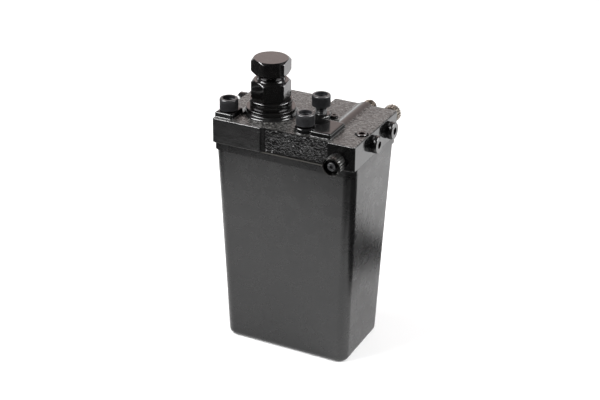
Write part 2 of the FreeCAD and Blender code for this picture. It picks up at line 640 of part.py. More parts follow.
def suction_parts():
    stem_bottom, hex_bottom, hex_top, thread_top = SUCTION_BODY
    place = at(VALVE_X, PLUNGER_Y, 0)
    body = merged([
        cylinder(SUCTION_R, hex_bottom - stem_bottom, place + at(0, 0, stem_bottom)),
        hexagon(SUCTION_HEX, hex_top - hex_bottom, place + at(0, 0, hex_bottom)),
        cylinder(SUCTION_R, thread_top - hex_top, place + at(0, 0, hex_top)),
    ])
    for radius, z0, z1 in ((TUBE_R + PRESS_GAP, stem_bottom, 152.0), (SEAT_R, 150.0, 160.0),
                           (POCKET_R, SUCTION_SEAT_Z, thread_top)):
        body = body.cut(cylinder(radius, z1 - z0, place + at(0, 0, z0)))
    bottom, top, radius = STRAINER
    strainer = cylinder(radius, top - bottom, place + at(0, 0, bottom))
    strainer = strainer.makeFillet(1.5, strainer.Edges)
    strainer = strainer.cut(cylinder(radius - 1.5, top - bottom - 3, place + at(0, 0, bottom + 1.5)))
    strainer = strainer.cut(cylinder(TUBE_R + PRESS_GAP, 4, place + at(0, 0, top - 3)))
    tube_bottom = top - 6
    return {
        "suction_valve_body": body,
        "suction_ball": ball_on_seat(BALL_R, SEAT_R, VALVE_X, PLUNGER_Y, SUCTION_SEAT_Z),
        "suction_ball_stop": ring(POCKET_R - PRESS_GAP, 1.8, 1.9, place + at(0, 0, 163.5)),
        "suction_tube": ring(TUBE_R, TUBE_BORE, 151.9 - tube_bottom, place + at(0, 0, tube_bottom)),
        "suction_strainer": strainer,
    }


def valve_springs():
    x, y = RELIEF
    return {
        "outlet_ball": ball_on_seat(BALL_R, SEAT_R, VALVE_X, OUTLET_Y, OUTLET_SEAT_Z),
        "outlet_spring": spring(*OUTLET_SPRING, VALVE_X, OUTLET_Y),
        "relief_ball": ball_on_seat(RELIEF_BALL_R, RELIEF_SEAT_R, x, y, RELIEF_SEAT_Z),
        "relief_spring": spring(*RELIEF_SPRING, x, y),
    }


def gallery_plug(mouth, axis, collar_r, collar):
    """Hex-socket plug with its collar outside the mouth, and the sealing ring under it."""
    collar_end = PLUG_SEAL + collar
    edge = 0.5
    profile = [(0, -PLUG_THREAD), (PLUG_THREAD_R - 0.6, -PLUG_THREAD),
               (PLUG_THREAD_R, -PLUG_THREAD + 0.6), (PLUG_THREAD_R, PLUG_SEAL),
               (collar_r, PLUG_SEAL), (collar_r, collar_end - edge),
               (collar_r - edge, collar_end), (0, collar_end)]
    plug = turned(profile, mouth, axis)
    socket_floor = mouth + axis * (collar_end - PLUG_SOCKET_DEPTH)
    plug = plug.cut(hexagon(PLUG_SOCKET, PLUG_SOCKET_DEPTH, socket_floor, axis))
    return plug, ring(collar_r - 0.4, PLUG_THREAD_R + 0.1, PLUG_SEAL, mouth, axis)


def gallery_closures():
    plugs = []
    seals = []
    for y in (OUTLET_Y, RETURN_Y):
        plug, seal = gallery_plug(at(BLOCK_RIGHT, y, GALLERY_Z), RIGHT, PLUG_COLLAR_R, PLUG_COLLAR)
        plugs.append(plug)
        seals.append(seal)
    y, z = LEFT_GALLERY
    filler, seal = gallery_plug(at(BLOCK_LEFT, y, z), -RIGHT, FILLER_COLLAR_R, FILLER_COLLAR)
    seals.append(seal)
    return {"gallery_plugs": plugs, "filler_plug": filler, "plug_seals": seals}


def knurled_bar(outer, root, ridges, length, start, axis):
    """Bar with flat-topped ridges along it."""
    corners = []
    step = 2 * math.pi / ridges
    for index in range(ridges):
        for radius, share in ((root, 0.0), (root, 0.3), (outer, 0.42), (outer, 0.88)):
            angle = step * (index + share)
            corners.append(at(radius * math.cos(angle), radius * math.sin(angle), 0))
    bar = Part.Face(Part.makePolygon(corners + corners[:1])).extrude(at(0, 0, length))
    bar.Placement = FreeCAD.Placement(start, FreeCAD.Rotation(UP, axis))
    return bar


def finished_port(shapes, x, z):
    """Fuses a port fitting and drills its tube seat and passage."""
    fitting = merged(shapes)
    fitting = fitting.cut(cylinder(TUBE_SEAT_R, TUBE_SEAT, at(x, PORT_END - TUBE_SEAT, z), BACK))
    return fitting.cut(cylinder(TUBE_BORE, 30, at(x, BLOCK_BACK - 12, z), BACK))


def lift_port_fitting():
    """Knurled union on the lift side, with plain ends."""
    x, z = LIFT_PORT
    mouth = at(x, BLOCK_BACK, z)
    length = PORT_END - BLOCK_BACK
    shank = cylinder(PORT_THREAD_R, PORT_THREAD + PLUG_SEAL, mouth - BACK * PORT_THREAD, BACK)
    core = turned([(0, PLUG_SEAL), (LIFT_ROOT_R, PLUG_SEAL), (LIFT_ROOT_R, length - 0.7),
                   (LIFT_ROOT_R - 0.7, length), (0, length)], mouth, BACK)
    grip_start = mouth + BACK * (PLUG_SEAL + 1.0)
    grip_length = length - PLUG_SEAL - 2.0
    grip = knurled_bar(LIFT_R, LIFT_ROOT_R - 0.2, LIFT_RIDGES, grip_length, grip_start, BACK)
    return finished_port([shank, core, grip], x, z)


def return_port_fitting():
    """Threaded union on the return side."""
    x, z = RETURN_PORT
    mouth = at(x, BLOCK_BACK, z)
    length = PORT_END - BLOCK_BACK
    shapes = [cylinder(PORT_THREAD_R, PORT_THREAD + PLUG_SEAL, mouth - BACK * PORT_THREAD, BACK),
              cylinder(RETURN_ROOT_R, length - PLUG_SEAL, mouth + BACK * PLUG_SEAL, BACK)]
    rib = PORT_RIB_PITCH / 2.0
    along = PLUG_SEAL
    while along + rib <= length:
        shapes.append(turned([(0, along), (RETURN_R - 0.3, along), (RETURN_R, along + 0.3),
                              (RETURN_R, along + rib - 0.3), (RETURN_R - 0.3, along + rib),
                              (0, along + rib)], mouth, BACK))
        along += PORT_RIB_PITCH
    return finished_port(shapes, x, z)


def rear_ports():
    seals = []
    for (x, z), outer in ((LIFT_PORT, LIFT_ROOT_R), (RETURN_PORT, RETURN_ROOT_R)):
        seals.append(ring(outer, PORT_THREAD_R + 0.1, PLUG_SEAL, at(x, BLOCK_BACK, z), BACK))
    return {"lift_port_fitting": lift_port_fitting(),
            "return_port_fitting": return_port_fitting(),
            "port_seals": seals}


def selector_knob(along_y):
    """Knurled knob with a plain rim and a recessed face."""
    knob = along_y(KNOB_ROOT_R, KNOB_FRONT + KNOB_PLAIN, KNOB_BACK)
    face = along_y(KNOB_R, KNOB_FRONT, KNOB_FRONT + KNOB_PLAIN)
    face = face.makeFillet(0.6, edges_where(face, lambda box: box.YMax < KNOB_FRONT + 0.01))
    grip_start = at(SELECTOR_X, KNOB_FRONT + KNOB_PLAIN, SELECTOR_Z)
    grip_length = KNOB_BACK - KNOB_FRONT - 1.5 * KNOB_PLAIN
    grip = knurled_bar(KNOB_R, KNOB_ROOT_R - 0.2, KNOB_RIDGES, grip_length, grip_start, BACK)
    knob = merged([knob, face, grip]).cut(along_y(KNOB_RECESS_R, KNOB_FRONT, KNOB_FLOOR))
    return knob.cut(along_y(KNOB_BORE_R + PRESS_GAP, KNOB_FLOOR, KNOB_BACK))


def selector_valve():
    def along_y(radius, y0, y1):
        return cylinder(radius, y1 - y0, at(SELECTOR_X, y0, SELECTOR_Z), BACK)

    def along_y_ring(outer, inner, y0, y1):
        return along_y(outer, y0, y1).cut(along_y(inner, y0, y1))

    groove_front, groove_back, groove_r = CARTRIDGE_GROOVE
    cartridge = along_y(CARTRIDGE_R, BLOCK_FRONT, CARTRIDGE_BACK)
    cartridge = cartridge.fuse(along_y(CARTRIDGE_FLANGE_R, CARTRIDGE_FRONT, BLOCK_FRONT))
    cartridge = cartridge.cut(along_y(SPINDLE_R + THREAD_GAP, CARTRIDGE_FRONT, CARTRIDGE_BACK))
    cartridge = cartridge.cut(along_y_ring(CARTRIDGE_FLANGE_R, groove_r, groove_front, groove_back))
    ring_front, ring_back, ring_r = SPINDLE_GROOVE
    spindle = merged([along_y(SPINDLE_R + 1.5, CARTRIDGE_BACK + 0.3, CARTRIDGE_BACK + 2.8),
                      along_y(SPINDLE_R, KNOB_BACK + 0.5, CARTRIDGE_BACK + 1),
                      along_y(KNOB_BORE_R, KNOB_FLOOR, KNOB_BACK + 1)])
    spindle = spindle.cut(along_y(M4_R + THREAD_GAP, KNOB_FLOOR, KNOB_FLOOR + 10))
    spindle = spindle.cut(along_y_ring(SPINDLE_R + 1.5, ring_r, ring_front, ring_back))
    washer_r, washer_bore, washer = KNOB_WASHER
    screw_seat = at(SELECTOR_X, KNOB_FLOOR - washer, SELECTOR_Z)
    return {
        "selector_cartridge": cartridge,
        "cartridge_o_ring": along_y_ring(5.54, groove_r + 0.02, groove_front + 0.1, groove_back - 0.1),
        "selector_spindle": spindle,
        "spindle_o_ring": along_y_ring(3.53, ring_r + 0.02, ring_front + 0.1, ring_back - 0.1),
        "selector_knob": selector_knob(along_y),
        "knob_washer": along_y_ring(washer_r, washer_bore, KNOB_FLOOR - washer, KNOB_FLOOR),
        "knob_screw": cap_screw(M4_R, 3.65, 3.0, 8.0, 3.0, screw_seat, -BACK),
    }


def tie_bolt_parts():
    head_seat = TIE_SEAT + TIE_WASHER
    bolt = cap_screw(M8_R, TIE_HEAD_R, 8.0, head_seat - TIE_TIP, 6.0, at(0, 0, head_seat))
    anchor = cylinder(ANCHOR_R, ANCHOR_TOP - TANK_FLOOR, at(0, 0, TANK_FLOOR))
    anchor = anchor.cut(cylinder(M8_R + THREAD_GAP, ANCHOR_TOP - 6, at(0, 0, 6)))
    washer = ring(TIE_HEAD_R + 0.2, M8_R + 0.2, TIE_WASHER, at(0, 0, TIE_SEAT))
    return {"tank_tie_bolt": bolt, "tank_anchor_boss": anchor, "tie_bolt_washer": washer}


def bracket_screws():
    return [cap_screw(M10_R, M10_HEAD_R, M10_HEAD, M10_LENGTH, M10_SOCKET, at(x, y, seat))
            for x, y, seat in BRACKET_SCREWS]


def bleed_plug():
    x, y, radius, depth = BLEED_PLUG
    head_r, rise = BLEED_HEAD
    bottom = DECK + 0.3 - depth
    shoulder = DECK - BLEED_RECESS[1]
    top = DECK + rise
    plug = turned([(0, bottom), (radius, bottom), (radius, shoulder), (head_r, shoulder),
                   (head_r, top - 0.4), (head_r - 0.4, top), (0, top)], at(x, y, 0))
    return plug.cut(hexagon(5.0, 4.0, at(x, y, top - 4.0), UP, 10.0))


def relief_set_screw():
    x, y = RELIEF
    top = PAD_TOP - 2.0
    screw = cylinder(M6_R, top - RELIEF_SCREW_BOTTOM, at(x, y, RELIEF_SCREW_BOTTOM))
    return screw.cut(hexagon(3.0, 3.0, at(x, y, top - 3.0), UP, 20.0))


def return_tube():
    x, z0 = RETURN_TUBE
    return ring(TUBE_R, TUBE_BORE, BLOCK_BOTTOM + 5.9 - z0, at(x, LEFT_GALLERY[0], z0))


def model():
    """Every piece by name; a list holds identical pieces."""
    seal_start = at(PLUNGER_TIP - 5.9, PLUNGER_Y, PLUNGER_Z)
    pieces = {
        "valve_block": valve_block(),
        "reservoir_tank": reservoir_tank(),
        "tank_gasket": tank_gasket(),
        "pump_shaft": pump_shaft(),
        "crank_disc": crank_disc(),
        "gland_nut": gland_nut(),
        "plunger": plunger(),
        "plunger_seal": ring(PLUNGER_R + 0.02, SEAL_GROOVE_R + 0.02, SEAL_GROOVE - 0.2,
                             seal_start, RIGHT),
        "pump_barrel": pump_barrel(),
        "barrel_gallery_plug": cylinder(DRILL_R, 2.2, at(VALVE_X, BARREL[3] - 2.2, PLUNGER_Z), BACK),
        "plunger_guide": plunger_guide(),
        "barrel_screws": m5_screws(BARREL_SCREWS, BARREL[4]),
        "guide_screws": m5_screws(GUIDE_SCREWS, GUIDE[4]),
        "bracket_screws": bracket_screws(),
        "bleed_plug": bleed_plug(),
        "relief_set_screw": relief_set_screw(),
        "return_tube": return_tube(),
    }
    groups = (gland_rings, crank_fasteners, suction_parts, valve_springs, gallery_closures,
              rear_ports, selector_valve, tie_bolt_parts)
    for group in groups:
        pieces.update(group())
    return pieces


def main():
    os.makedirs("parts", exist_ok=True)
    for name, shape in model().items():
        whole = Part.makeCompound(shape) if isinstance(shape, list) else shape
        solids = whole.Solids
        if len(solids) > 1:
            whole = Part.makeCompound(solids)
        else:
            whole = solids[0]
        whole.exportStep("parts/" + name + ".step")
        print(f"{name}: {len(solids)} solid(s), valid {whole.isValid()}, {whole.Volume:.1f} mm3")


main()
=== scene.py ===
import json
import math

import bmesh
import bpy
import numpy as np
from mathutils import Matrix, Vector, noise

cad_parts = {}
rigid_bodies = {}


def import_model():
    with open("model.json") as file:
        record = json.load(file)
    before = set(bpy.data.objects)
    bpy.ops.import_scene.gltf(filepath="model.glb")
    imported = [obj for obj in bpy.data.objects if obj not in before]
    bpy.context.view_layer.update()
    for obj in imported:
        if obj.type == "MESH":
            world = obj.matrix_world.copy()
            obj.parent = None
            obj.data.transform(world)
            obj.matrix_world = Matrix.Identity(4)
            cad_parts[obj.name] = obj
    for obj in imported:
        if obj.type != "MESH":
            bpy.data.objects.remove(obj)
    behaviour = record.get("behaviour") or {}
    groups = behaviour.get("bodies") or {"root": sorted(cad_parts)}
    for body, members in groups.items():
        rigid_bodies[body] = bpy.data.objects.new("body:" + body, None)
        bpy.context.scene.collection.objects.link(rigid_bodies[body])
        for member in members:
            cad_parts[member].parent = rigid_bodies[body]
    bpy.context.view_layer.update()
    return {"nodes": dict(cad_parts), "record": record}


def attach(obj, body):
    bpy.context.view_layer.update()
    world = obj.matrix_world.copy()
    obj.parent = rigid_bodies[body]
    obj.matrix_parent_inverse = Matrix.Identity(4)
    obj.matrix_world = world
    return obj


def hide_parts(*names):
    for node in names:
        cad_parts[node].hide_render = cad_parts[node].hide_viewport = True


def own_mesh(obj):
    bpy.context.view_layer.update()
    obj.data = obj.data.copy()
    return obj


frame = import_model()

# A hydraulic hand pump in black paint and black oxide, on pale paper under three softboxes.
# Lengths are in millimetres in the materials, the block and the screws, and in metres in the studio.

nodes = frame["nodes"]
MM = 0.001
WELD = 0.002

# Places on the valve block, from part.py.
DECK = 215.0                  # its top face
ROUGH_FACE = (-16.6, 41.6)    # left and right end of the rough part of its front
FACE_FRONT = -42.5            # the rough part lies in front of this
FACE_FOOT = 193.2             # and above this
BLOCK_BACK = 42.0             # the back's skin lies behind this


# ---------------------------------------------------------------- materials

class Finish:
    """Builds one procedural material. Texture sizes are in millimetres."""

    def __init__(self, name):
        self.material = bpy.data.materials.new(name)
        self.material.use_nodes = True
        self.tree = self.material.node_tree
        self.tree.nodes.clear()
        output = self.add("ShaderNodeOutputMaterial")
        self.shader = self.add("ShaderNodeBsdfPrincipled")
        self.link(self.shader.outputs["BSDF"], output.inputs["Surface"])
        self.place = self.add("ShaderNodeTexCoord").outputs["Object"]
        self.normal = None

    def add(self, kind, **settings):
        """A new node with the given settings."""
        node = self.tree.nodes.new(kind)
        for key, value in settings.items():
            setattr(node, key, value)
        return node

    def link(self, source, target):
        self.tree.links.new(source, target)

    def stretched(self, scale):
        """The object's coordinates, scaled along each axis."""
        mapping = self.add("ShaderNodeMapping")
        mapping.inputs["Scale"].default_value = scale
        self.link(self.place, mapping.inputs["Vector"])
        return mapping.outputs["Vector"]

    def grain(self, size, detail=3.0, rough=0.55, place=None, distortion=0.0):
        """Noise whose patches are about size across."""
        texture = self.add("ShaderNodeTexNoise")
        texture.inputs["Scale"].default_value = 1.0 / (size * MM)
        texture.inputs["Detail"].default_value = detail
        texture.inputs["Roughness"].default_value = rough
        texture.inputs["Distortion"].default_value = distortion
        self.link(place or self.place, texture.inputs["Vector"])
        return texture.outputs["Fac"]

    def remap(self, source, low, high, to_low, to_high):
        """Goes smoothly from to_low to to_high as the source goes from low to high."""
        node = self.add("ShaderNodeMapRange", interpolation_type="SMOOTHSTEP")
        for key, value in (("From Min", low), ("From Max", high), ("To Min", to_low), ("To Max", to_high)):
            node.inputs[key].default_value = value
        self.link(source, node.inputs["Value"])
        return node.outputs["Result"]

    def blend(self, share, first, second):
        """Colour between first and second; each is a colour or a socket."""
        node = self.add("ShaderNodeMix", data_type="RGBA")
        self.link(share, node.inputs[0])
        for slot, value in ((6, first), (7, second)):
            if isinstance(value, bpy.types.NodeSocket):
                self.link(value, node.inputs[slot])
            else:
                node.inputs[slot].default_value = (*value, 1.0)
        return node.outputs[2]

    def math(self, operation, first, second):
        """A sum of two values or sockets, by one of Blender's operations."""
        node = self.add("ShaderNodeMath", operation=operation)
        for slot, value in ((0, first), (1, second)):
            if isinstance(value, bpy.types.NodeSocket):
                self.link(value, node.inputs[slot])
            else:
                node.inputs[slot].default_value = value
        return node.outputs[0]

    def bump(self, height, depth):
        """Adds relief; depth is in millimetres."""
        node = self.add("ShaderNodeBump")
        node.inputs["Strength"].default_value = 1.0
        node.inputs["Distance"].default_value = depth * MM
        self.link(height, node.inputs["Height"])
        if self.normal:
            self.link(self.normal, node.inputs["Normal"])
        self.normal = node.outputs["Normal"]

    def facing(self, axis, low, high):
        """Rises from 0 to 1 as the face's normal along an axis goes from low to high."""
        parts = self.add("ShaderNodeSeparateXYZ")
        self.link(self.add("ShaderNodeNewGeometry").outputs["Normal"], parts.inputs[0])
        return self.remap(parts.outputs[axis], low, high, 0.0, 1.0)

    def beyond(self, axis, low, high):
        """Rises from 0 to 1 as the place along an axis goes from low to high, in millimetres."""
        parts = self.add("ShaderNodeSeparateXYZ")
        self.link(self.place, parts.inputs[0])
        return self.remap(parts.outputs[axis], low * MM, high * MM, 0.0, 1.0)

    def edges(self, low=0.52, high=0.60):
        """1 on convex edges, 0 on flats."""
        return self.remap(self.add("ShaderNodeNewGeometry").outputs["Pointiness"], low, high, 0.0, 1.0)

    def done(self, colour, roughness, metallic=0.0, ior=1.5):
        """Connects the shader and returns the material."""
        for key, value in (("Base Color", colour), ("Roughness", roughness)):
            self.link(value, self.shader.inputs[key])
        self.shader.inputs["Metallic"].default_value = metallic
        self.shader.inputs["IOR"].default_value = ior
        if self.normal:
            self.link(self.normal, self.shader.inputs["Normal"])
        return self.material


PAINT_BLACK = (0.003, 0.003, 0.003)
PAINT_SOFT_BLACK = (0.005, 0.005, 0.005)
DECK_DUST = (0.085, 0.083, 0.079)
LEFT_FRONT_GREY = (0.016, 0.016, 0.016)


def cast_paint():
    """Gloss black paint over a sand casting: pebbled deck, worm-like front, smooth pads and sides."""
    f = Finish("cast_black_paint")
    below_pads = f.beyond("Z", DECK + 1.4, DECK + 0.5)
    deck = f.math("MULTIPLY", below_pads, f.facing("Z", 0.5, 0.9))
    front = f.math("MULTIPLY", f.beyond("X", ROUGH_FACE[0], ROUGH_FACE[0] + 1.0),
                   f.beyond("X", ROUGH_FACE[1], ROUGH_FACE[1] - 1.0))
    front = f.math("MULTIPLY", front, below_pads)
    front = f.math("MULTIPLY", front, f.beyond("Y", FACE_FRONT + 1.0, FACE_FRONT))
    patches = f.grain(9.0, 4.0)
    fine = f.grain(0.9, 3.0)
    pebbles = f.grain(2.1, 3.0, 0.6, distortion=0.8)
    colour = f.blend(f.remap(patches, 0.35, 0.7, 0, 1), PAINT_BLACK, PAINT_SOFT_BLACK)
    dusty = f.math("MULTIPLY", deck, f.remap(pebbles, 0.42, 0.68, 0.1, 1.0))
    colour = f.blend(dusty, colour, DECK_DUST)
    streaks = f.grain(2.5, 4.0, 0.6, f.stretched((0.15, 1.0, 2.0)))
    # Lighter grey, in streaks, on the front-facing left part of the block.
    left_part = f.beyond("X", ROUGH_FACE[0], ROUGH_FACE[0] - 2.0)
    left_front_streaks = f.math("MULTIPLY", left_part, f.facing("Y", -0.6, -0.9))
    left_front_streaks = f.math("MULTIPLY", left_front_streaks, f.remap(streaks, 0.35, 0.65, 0.6, 1.0))
    colour = f.blend(left_front_streaks, colour, LEFT_FRONT_GREY)
    f.bump(f.math("MULTIPLY", deck, pebbles), depth=0.34)
    f.bump(f.math("MULTIPLY", deck, fine), depth=0.08)
    f.bump(f.grain(3.0, 2.0), depth=0.012)
    half_matt = f.math("MULTIPLY", front, 0.4)
    matt = f.math("MAXIMUM", deck, f.math("MAXIMUM", half_matt, left_front_streaks))
    dulling = f.math("MULTIPLY", matt, f.remap(patches, 0.3, 0.7, 0.08, 0.16))
    return f.done(colour, f.math("ADD", dulling, 0.12), ior=1.6)


def tank_paint():
    """Semi-gloss powder coat with a fine orange peel."""
    f = Finish("tank_powder_coat")
    peel = f.grain(0.85, 2.0, 0.45)
    drift = f.grain(45.0, 3.0)
    colour = f.blend(f.remap(drift, 0.3, 0.7, 0, 1), (0.003, 0.003, 0.0032), (0.005, 0.005, 0.0052))
    colour = f.blend(f.remap(f.grain(0.35, 2.0), 0.62, 0.76, 0, 0.25), colour, (0.02, 0.02, 0.021))
    f.bump(peel, depth=0.02)
    return f.done(colour, f.remap(f.grain(14.0, 4.0), 0.3, 0.7, 0.25, 0.31), ior=1.52)


def black_oxide(name="black_oxide_steel", shade=0.0025, rough=(0.09, 0.17)):
    """Turned and oiled black-oxide steel, a little brown where the finish is thin."""
    f = Finish(name)
    smear = f.grain(6.0, 4.0)
    marks = f.grain(0.8, 3.0, 0.6, f.stretched((1.0, 1.0, 9.0)))
    thick = (shade, shade * 0.98, shade * 0.97)
    thin = (shade * 1.7, shade * 1.5, shade * 1.4)
    colour = f.blend(f.remap(smear, 0.35, 0.7, 0, 1), thick, thin)
    colour = f.blend(f.edges(0.53, 0.62), colour, (0.018, 0.0175, 0.017))
    f.bump(marks, depth=0.006)
    return f.done(colour, f.remap(smear, 0.3, 0.7, rough[0], rough[1]), ior=1.75)


def phosphate():
    """Dark grey phosphated screws with a dry, fine grain."""
    f = Finish("phosphate_steel")
    mottle = f.grain(1.4, 4.0)
    colour = f.blend(f.remap(mottle, 0.3, 0.7, 0, 1), (0.007, 0.0072, 0.0085), (0.017, 0.0175, 0.021))
    colour = f.blend(f.edges(0.54, 0.66), colour, (0.09, 0.09, 0.096))
    f.bump(f.grain(0.35, 3.0), depth=0.015)
    return f.done(colour, f.remap(mottle, 0.3, 0.7, 0.3, 0.44), ior=1.8)


def port_steel():
    """Bronze-brown passivated fittings."""
    f = Finish("port_passivated_steel")
    smear = f.grain(2.2, 4.0)
    colour = f.blend(f.remap(smear, 0.3, 0.7, 0, 1), (0.045, 0.036, 0.028), (0.16, 0.13, 0.105))
    colour = f.blend(f.edges(0.53, 0.62), colour, (0.42, 0.38, 0.33))
    f.bump(f.grain(0.5, 2.0), depth=0.01)
    return f.done(colour, f.remap(smear, 0.3, 0.7, 0.22, 0.38), metallic=0.8, ior=1.6)


def steel(name, light, dark, rough, grain_size=1.2, wear=0.0):
    """Bare or lightly blackened metal with fine machining marks."""
    f = Finish(name)
    smear = f.grain(grain_size * 4, 4.0)
    marks = f.grain(grain_size, 3.0, 0.6, f.stretched((6.0, 1.0, 1.0)))
    colour = f.blend(f.remap(smear, 0.3, 0.7, 0, 1), dark, light)
    if wear:
        colour = f.blend(f.edges(), colour, (wear, wear, wear * 0.98))
    f.bump(marks, depth=0.008)
    return f.done(colour, f.remap(marks, 0.3, 0.7, rough[0], rough[1]), metallic=1.0)


def rubber():
    """Oily black rubber with a little dust."""
    f = Finish("seal_rubber")
    shade, gloss = 0.006, 0.1
    dust = f.grain(2.5, 5.0)
    dusty = (shade * 2.2, shade * 2.1, shade * 2.0)
    colour = f.blend(f.remap(dust, 0.4, 0.75, 0, 1), (shade, shade, shade), dusty)
    f.bump(f.grain(0.4, 2.0), depth=0.01)
    return f.done(colour, f.remap(dust, 0.3, 0.7, gloss, gloss + 0.08))


def fibre():
    """Pressed gasket fibre, edge on."""
    f = Finish("gasket_fibre")
    strands = f.grain(1.1, 5.0, 0.7, f.stretched((1.0, 3.0, 3.0)))
    colour = f.blend(f.remap(strands, 0.3, 0.7, 0, 1), (0.030, 0.029, 0.027), (0.075, 0.070, 0.062))
    f.bump(strands, depth=0.03)
    return f.done(colour, f.remap(strands, 0.3, 0.7, 0.75, 0.9))


GAUZE_SCALE = 260.0


def wire_mesh():
    """Woven brass gauze of the suction strainer."""
    f = Finish("strainer_gauze")
    wires = []
    for direction in ("X", "Z"):
        wave = f.add("ShaderNodeTexWave", bands_direction=direction)
        wave.inputs["Scale"].default_value = GAUZE_SCALE
        f.link(f.place, wave.inputs["Vector"])
        wires.append(wave.outputs["Fac"])
    weave = f.math("MAXIMUM", wires[0], wires[1])
    colour = f.blend(f.remap(weave, 0.35, 0.8, 0, 1), (0.03, 0.025, 0.015), (0.55, 0.42, 0.2))
    f.bump(weave, depth=0.12)
    return f.done(colour, f.remap(weave, 0, 1, 0.6, 0.32), metallic=0.9)


finishes = {
    "cast_black": cast_paint(),
    "tank_black": tank_paint(),
    "black_oxide": black_oxide(),
    "phosphate_steel": phosphate(),
    "port_steel": port_steel(),
    "knob_metal": steel("knob_blackened_metal", (0.05, 0.048, 0.046), (0.016, 0.0155, 0.0155),
                        (0.2, 0.34), 0.8, 0.35),
    "screw_steel": steel("zinc_screw_steel", (0.42, 0.42, 0.43), (0.25, 0.25, 0.26), (0.25, 0.4), 0.6),
    "machined_steel": steel("machined_steel", (0.55, 0.55, 0.56), (0.38, 0.38, 0.39), (0.18, 0.34)),
    "spring_steel": steel("spring_steel", (0.36, 0.35, 0.34), (0.2, 0.2, 0.2), (0.2, 0.35), 0.5),
    "bronze": steel("bearing_bronze", (0.62, 0.42, 0.2), (0.45, 0.29, 0.13), (0.25, 0.4)),
    "valve_brass": steel("valve_brass", (0.75, 0.57, 0.27), (0.55, 0.4, 0.17), (0.2, 0.35)),
    "strainer_mesh": wire_mesh(),
    "seal_rubber": rubber(),
    "gasket_fibre": fibre(),
}
dull_oxide = black_oxide("dull_black_oxide", 0.003, (0.19, 0.26))
DULL_NODES = ("gallery_plugs", "filler_plug", "bleed_plug", "relief_set_screw")
for part in frame["record"]["subparts"]:
    node = nodes[part["node"]]
    finish = dull_oxide if part["node"] in DULL_NODES else finishes[part["material_slot"]]
    node.data.materials.clear()
    node.data.materials.append(finish)


# ---------------------------------------------------------------- mesh helpers

def shade(mesh, angle=35.0):
    """Smooth shading with creases only where faces meet sharply."""
    mesh.polygons.foreach_set("use_smooth", [True] * len(mesh.polygons))
    mesh.set_sharp_from_angle(angle=math.radians(angle))


def add_piece(name, mesh, body, slot, stands_for):
    """A visual piece that rides on a body, in a slot's finish, and stands for these CAD nodes."""
    piece = bpy.data.objects.new(name, mesh)
    bpy.context.scene.collection.objects.link(piece)
    mesh.materials.clear()
    mesh.materials.append(finishes[slot])
    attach(piece, body)
    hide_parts(*stands_for)
    return piece


def column_angles(columns):
    """Angle of each column round a turned piece."""
    return np.arange(columns) * (2 * math.pi / columns)


def turned_mesh(name, rows, columns, origin):
    """Closed upright mesh. Each row is (radius, height); a radius may be one value per column."""
    angles = column_angles(columns)
    rings = []
    points = []
    for radius, height in rows:
        if np.max(radius) < 1e-6:
            rings.append([len(points)])
            points.append((0.0, 0.0, height))
        else:
            rings.append(list(range(len(points), len(points) + columns)))
            spread = np.broadcast_to(radius, (columns,))
            points += [(r * math.cos(a), r * math.sin(a), height) for r, a in zip(spread, angles)]
    faces = []
    for low, high in zip(rings, rings[1:]):
        for column in range(columns):
            following = (column + 1) % columns
            if len(low) == 1:
                faces.append((low[0], high[following], high[column]))
            elif len(high) == 1:
                faces.append((low[column], low[following], high[0]))
            else:
                faces.append((low[column], low[following], high[following], high[column]))
    mesh = bpy.data.meshes.new(name)
    mesh.from_pydata([(Vector(point) + Vector(origin)) * MM for point in points], [], faces)
    mesh.validate()
    shade(mesh)
    return mesh


def hex_radius(across_flats, columns):
    """Radius of a hexagon with slightly rounded corners, at each column."""
    sharpness = 70
    reach = np.zeros(columns)
    for side in range(6):
        facing = np.cos(column_angles(columns) - math.radians(30 + 60 * side))
        reach += np.maximum(facing, 0) ** sharpness
    return across_flats / 2 / reach ** (1 / sharpness)


def saw(phase):
    """Triangle wave, 0 to 1 to 0."""
    return 1 - np.abs(2 * (phase % 1.0) - 1)


def knurl(radius, depth, ridges, columns):
    """Straight knurl: flat-topped ridges round a head."""
    steepness, groove = 1.9, 0.25
    wave = saw(column_angles(columns) * ridges / (2 * math.pi)) * steepness - groove
    return radius - depth * (1 - np.clip(wave, 0, 1))


def thread_rows(radius, pitch, start, end, columns):
    """Rows of a right-hand thread between two heights."""
    rows_per_turn = 8
    steepness, groove, fullness = 1.3, 0.1, 0.9
    depth = 0.6 * pitch
    rows = []
    count = int((end - start) / pitch * rows_per_turn)
    for index in range(count + 1):
        height = start + (end - start) * index / count
        wave = saw(height / pitch - column_angles(columns) / (2 * math.pi)) * steepness - groove
        rows.append((radius - depth * (1 - np.clip(wave, 0, 1)) * fullness, height))
    return rows


def soften(width, *names):
    """Rounds the sharp edges of CAD nodes with modifiers; their own meshes stay as they are."""
    for name in names:
        weld = nodes[name].modifiers.new("weld", "WELD")
        weld.merge_threshold = WELD * MM
        bevel = nodes[name].modifiers.new("edge", "BEVEL")
        bevel.width = width * MM
        bevel.segments = 2
        bevel.limit_method = "ANGLE"
        bevel.angle_limit = math.radians(28)
        bevel.harden_normals = True
        bevel.use_clamp_overlap = True


# ---------------------------------------------------------------- cast valve block

# Waves of the cast skin per millimetre, and how far they stand out in millimetres.
WARP_RATE, WARP_REACH = 0.21, 0.9
WORM_RATE, WORM_NARROWNESS = 0.58, 3.2
PEBBLE_RATE = 0.8
SWELL_RATE = 0.33
FACE_WORM, FACE_PEBBLE = 0.42, 0.15
DECK_PEBBLE, DECK_SWELL = 0.10, 0.08
BACK_WORM, BACK_PEBBLE = 0.16, 0.08
SWELL = 0.03
VOXEL = 0.5
noise.seed_set(1)             # Blender seeds noise_vector from the clock otherwise


def share(value, low, high):
    """Smooth step from 0 at low to 1 at high."""
    t = min(1.0, max(0.0, (value - low) / (high - low)))
    return t * t * (3 - 2 * t)


